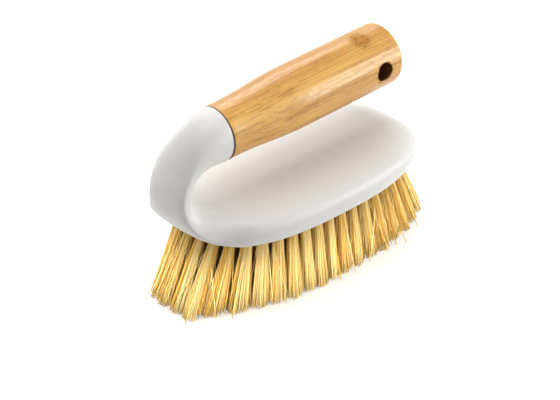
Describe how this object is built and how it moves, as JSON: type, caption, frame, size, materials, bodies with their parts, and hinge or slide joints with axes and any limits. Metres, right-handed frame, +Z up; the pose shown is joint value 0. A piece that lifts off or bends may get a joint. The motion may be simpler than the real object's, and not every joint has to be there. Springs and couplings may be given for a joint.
{
  "type": "hand scrubbing brush",
  "caption": "Hand scrubbing brush: an oval white plastic sole with a swan neck that carries a round bamboo grip above it, and fanned stiff bristle tufts below.",
  "frame": {"origin": "on the surface that the bristle tips stand on, under the middle of the part's box", "axes": "+X along the grip from the neck to its free end, +Y across the brush, +Z up"},
  "size_m": [0.1482, 0.072, 0.0952],
  "materials": {
    "white_plastic": "smooth satin moulding",
    "bamboo": "sanded and lacquered bamboo",
    "plate_plastic": "matt moulding",
    "bristle": "stiff straw-coloured filament"
  },
  "bodies": {
    "root": {"body_shell": "white_plastic", "bamboo_grip": "bamboo", "tuft_plate": "plate_plastic", "tuft_outer_01": "bristle", "tuft_outer_02": "bristle", "tuft_outer_03": "bristle", "tuft_outer_04": "bristle", "tuft_outer_05": "bristle", "tuft_outer_06": "bristle", "tuft_outer_07": "bristle", "tuft_outer_08": "bristle", "tuft_outer_09": "bristle", "tuft_outer_10": "bristle", "tuft_outer_11": "bristle", "tuft_outer_12": "bristle", "tuft_outer_13": "bristle", "tuft_outer_14": "bristle", "tuft_outer_15": "bristle", "tuft_outer_16": "bristle", "tuft_outer_17": "bristle", "tuft_outer_18": "bristle", "tuft_outer_19": "bristle", "tuft_outer_20": "bristle", "tuft_outer_21": "bristle", "tuft_outer_22": "bristle", "tuft_outer_23": "bristle", "tuft_outer_24": "bristle", "tuft_outer_25": "bristle", "tuft_outer_26": "bristle", "tuft_outer_27": "bristle", "tuft_outer_28": "bristle", "tuft_outer_29": "bristle", "tuft_outer_30": "bristle", "tuft_outer_31": "bristle", "tuft_outer_32": "bristle", "tuft_outer_33": "bristle", "tuft_outer_34": "bristle", "tuft_outer_35": "bristle", "tuft_outer_36": "bristle", "tuft_outer_37": "bristle", "tuft_outer_38": "bristle", "tuft_outer_39": "bristle", "tuft_outer_40": "bristle", "tuft_row_2": "bristle", "tuft_row_3": "bristle", "tuft_row_4": "bristle"}
  },
  "joints": []
}
